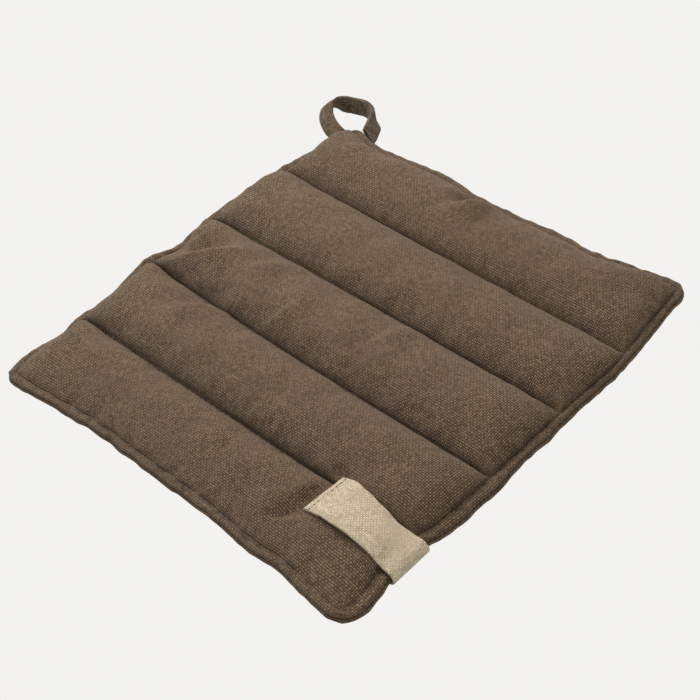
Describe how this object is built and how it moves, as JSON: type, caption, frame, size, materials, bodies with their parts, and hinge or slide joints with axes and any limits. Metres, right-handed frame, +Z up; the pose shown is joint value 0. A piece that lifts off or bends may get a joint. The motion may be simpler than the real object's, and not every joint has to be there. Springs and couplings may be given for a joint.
{
  "type": "quilted pot holder",
  "caption": "Square quilted pot holder of coarse brown cloth with sewn channels, a rolled rim, a linen tab and a corner hanging loop.",
  "frame": {"origin": "middle of the sewn square, on the flat underside of the middle channel", "axes": "+X along the stitch lines towards the edge with the linen tab, +Y across them towards the back edge, +Z up; the hanging loop is at the -X +Y corner"},
  "size_m": [0.2365, 0.2339, 0.0171],
  "materials": {
    "brown_cloth": "coarse plain weave of taupe brown, slightly uneven threads, matt",
    "loop_cloth": "folded tape of the same coarse brown cloth, creased where it turns",
    "linen_tape": "natural pale linen tape, fine weave, bare"
  },
  "bodies": {
    "root": {"pad": "brown_cloth", "hanging_loop": "loop_cloth", "linen_tab": "linen_tape"}
  },
  "joints": []
}
